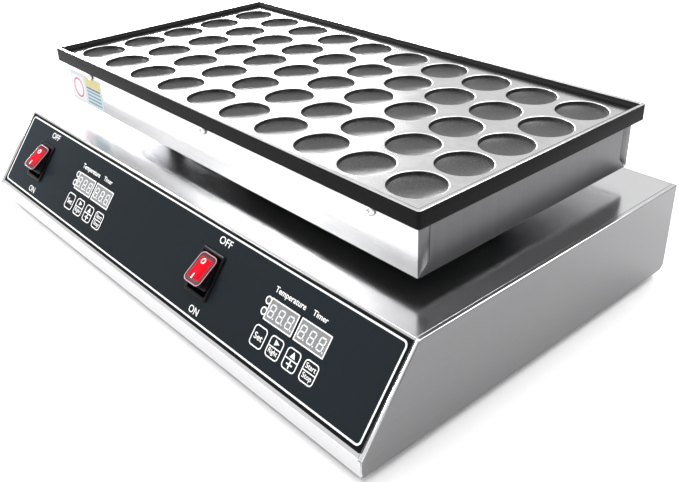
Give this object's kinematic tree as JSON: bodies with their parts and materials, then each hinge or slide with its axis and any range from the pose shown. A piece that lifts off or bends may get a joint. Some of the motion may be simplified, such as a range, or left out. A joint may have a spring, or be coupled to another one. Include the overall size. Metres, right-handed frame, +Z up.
{
  "type": "electric mini-pancake griddle",
  "caption": "Counter-top electric griddle with a rimmed plate of round cups over a sloping-front stainless base with two sets of rocker switch, display and keys.",
  "frame": {"origin": "on the floor, under the middle of the whole object's box, which includes the cable gland at the rear", "axes": "+X to the right along the long side, -Y towards the person at the control panel, +Z up"},
  "size_m": [0.5956, 0.3926, 0.1636],
  "materials": {
    "coated_casting": "cast and satin, grey non-stick in the cups",
    "stainless_sheet": "brushed",
    "floor_sheet": "plain",
    "fastener_steel": "plated",
    "heater_sheath": "dark oxide",
    "bracket_steel": "plain",
    "mineral_fibre": "fibrous",
    "foot_rubber": "matt",
    "gland_seal_rubber": "matt",
    "gland_nylon": "moulded",
    "panel_film": "gloss",
    "display_face": "gloss",
    "circuit_board": "solder mask",
    "switch_body": "satin",
    "rocker_red": "gloss, clear red",
    "contactor_case": "moulded",
    "lead_sleeve": "braided"
  },
  "bodies": {
    "griddle": {"mould_plate": "coated_casting", "top_cover": "stainless_sheet", "side_panel_left": "stainless_sheet", "side_panel_right": "stainless_sheet", "rear_panel": "stainless_sheet", "skirt_front": "stainless_sheet", "skirt_rear": "stainless_sheet", "skirt_left": "stainless_sheet", "skirt_right": "stainless_sheet", "head_pan": "stainless_sheet", "post_front_left": "stainless_sheet", "post_front_right": "stainless_sheet", "post_rear_left": "stainless_sheet", "post_rear_right": "stainless_sheet", "wire_conduit": "stainless_sheet", "bottom_plate": "floor_sheet", "plate_screw_front_left": "fastener_steel", "plate_screw_front_middle": "fastener_steel", "plate_screw_front_right": "fastener_steel", "plate_screw_rear_left": "fastener_steel", "plate_screw_rear_middle": "fastener_steel", "plate_screw_rear_right": "fastener_steel", "heater_left": "heater_sheath", "heater_right": "heater_sheath", "heater_clamp_left": "bracket_steel", "heater_clamp_right": "bracket_steel", "probe_left": "bracket_steel", "probe_right": "bracket_steel", "insulation_blanket": "mineral_fibre", "foot_front_left": "foot_rubber", "foot_front_right": "foot_rubber", "foot_rear_left": "foot_rubber", "foot_rear_right": "foot_rubber", "gland_seal": "gland_seal_rubber", "gland_body": "gland_nylon", "gland_nut": "gland_nylon", "gland_locknut": "gland_nylon", "control_overlay": "panel_film", "display_left": "display_face", "display_right": "display_face", "controller_board_left": "circuit_board", "controller_board_right": "circuit_board", "switch_housing_left": "switch_body", "switch_housing_right": "switch_body", "contactor_left": "contactor_case", "contactor_right": "contactor_case", "terminal_block": "contactor_case", "heater_lead_left": "lead_sleeve", "heater_lead_right": "lead_sleeve"},
    "rocker_left": {"rocker_left": "rocker_red"},
    "rocker_right": {"rocker_right": "rocker_red"},
    "key_left_1": {"key_left_1": "panel_film"},
    "key_left_2": {"key_left_2": "panel_film"},
    "key_left_3": {"key_left_3": "panel_film"},
    "key_left_4": {"key_left_4": "panel_film"},
    "key_right_1": {"key_right_1": "panel_film"},
    "key_right_2": {"key_right_2": "panel_film"},
    "key_right_3": {"key_right_3": "panel_film"},
    "key_right_4": {"key_right_4": "panel_film"}
  },
  "joints": [
    {"name": "rocker_left_turn", "type": "hinge", "parent": "griddle", "child": "rocker_left", "pos_m": [-0.23155, -0.16902, 0.0581], "axis": [1, 0, 0], "range_deg": [0, 34]},
    {"name": "rocker_right_turn", "type": "hinge", "parent": "griddle", "child": "rocker_right", "pos_m": [0.08415, -0.16902, 0.0581], "axis": [1, 0, 0], "range_deg": [0, 34]},
    {"name": "key_left_1_press", "type": "slide", "parent": "griddle", "child": "key_left_1", "axis": [0, 0.7952, -0.6064], "range_m": [0, 0.0004], "stiffness_N_per_m": 600, "springref_m": -0.0002},
    {"name": "key_left_2_press", "type": "slide", "parent": "griddle", "child": "key_left_2", "axis": [0, 0.7952, -0.6064], "range_m": [0, 0.0004], "stiffness_N_per_m": 600, "springref_m": -0.0002},
    {"name": "key_left_3_press", "type": "slide", "parent": "griddle", "child": "key_left_3", "axis": [0, 0.7952, -0.6064], "range_m": [0, 0.0004], "stiffness_N_per_m": 600, "springref_m": -0.0002},
    {"name": "key_left_4_press", "type": "slide", "parent": "griddle", "child": "key_left_4", "axis": [0, 0.7952, -0.6064], "range_m": [0, 0.0004], "stiffness_N_per_m": 600, "springref_m": -0.0002},
    {"name": "key_right_1_press", "type": "slide", "parent": "griddle", "child": "key_right_1", "axis": [0, 0.7952, -0.6064], "range_m": [0, 0.0004], "stiffness_N_per_m": 600, "springref_m": -0.0002},
    {"name": "key_right_2_press", "type": "slide", "parent": "griddle", "child": "key_right_2", "axis": [0, 0.7952, -0.6064], "range_m": [0, 0.0004], "stiffness_N_per_m": 600, "springref_m": -0.0002},
    {"name": "key_right_3_press", "type": "slide", "parent": "griddle", "child": "key_right_3", "axis": [0, 0.7952, -0.6064], "range_m": [0, 0.0004], "stiffness_N_per_m": 600, "springref_m": -0.0002},
    {"name": "key_right_4_press", "type": "slide", "parent": "griddle", "child": "key_right_4", "axis": [0, 0.7952, -0.6064], "range_m": [0, 0.0004], "stiffness_N_per_m": 600, "springref_m": -0.0002}
  ]
}
